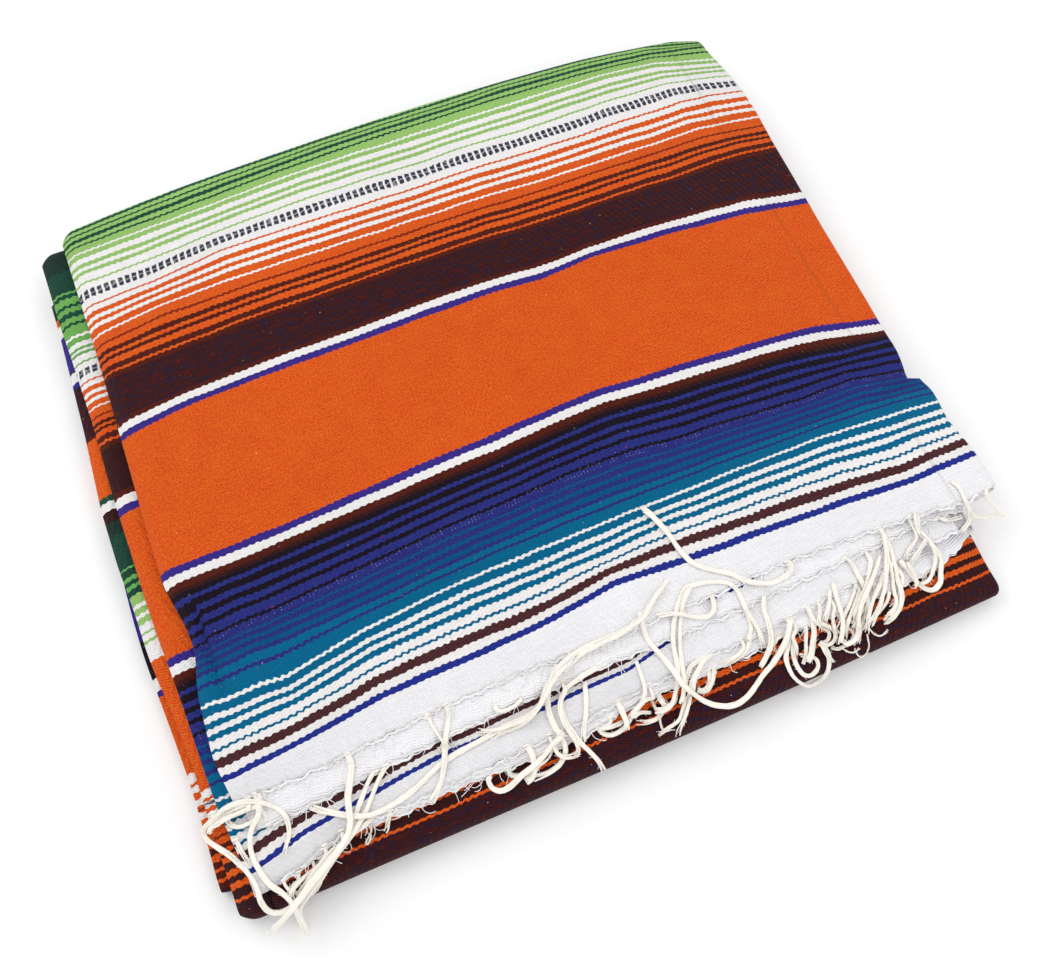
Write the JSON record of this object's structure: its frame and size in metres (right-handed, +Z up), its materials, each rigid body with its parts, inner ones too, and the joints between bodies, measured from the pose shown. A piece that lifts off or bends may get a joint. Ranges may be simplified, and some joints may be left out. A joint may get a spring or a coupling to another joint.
{
  "type": "folded striped blanket",
  "caption": "Folded striped serape blanket: one woven cloth folded across its width and along its length, with loose cream fringe along its hems at the front.",
  "frame": {"origin": "centre of the bounding box's footprint, on the flat underside that rests on the surface", "axes": "+Z up through the stack, -Y to the fringed front, +X along the stripes from the selvedges to the width fold"},
  "size_m": [0.6614, 0.6038, 0.0577],
  "materials": {
    "top_layer": "matt woven cloth",
    "second_layer": "matt woven cloth",
    "middle_fold": "matt woven cloth",
    "inner_fold": "matt woven cloth",
    "hidden_layers": "matt woven cloth",
    "fringe_top": "loose cream yarn",
    "fringe_under_top": "loose cream yarn",
    "fringe_second": "loose cream yarn",
    "fringe_under_second": "loose cream yarn"
  },
  "bodies": {
    "root": {"top_layer": "top_layer", "second_layer": "second_layer", "middle_fold": "middle_fold", "inner_fold": "inner_fold", "hidden_layers": "hidden_layers", "fringe_top": "fringe_top", "fringe_under_top": "fringe_under_top", "fringe_second": "fringe_second", "fringe_under_second": "fringe_under_second"}
  },
  "joints": []
}
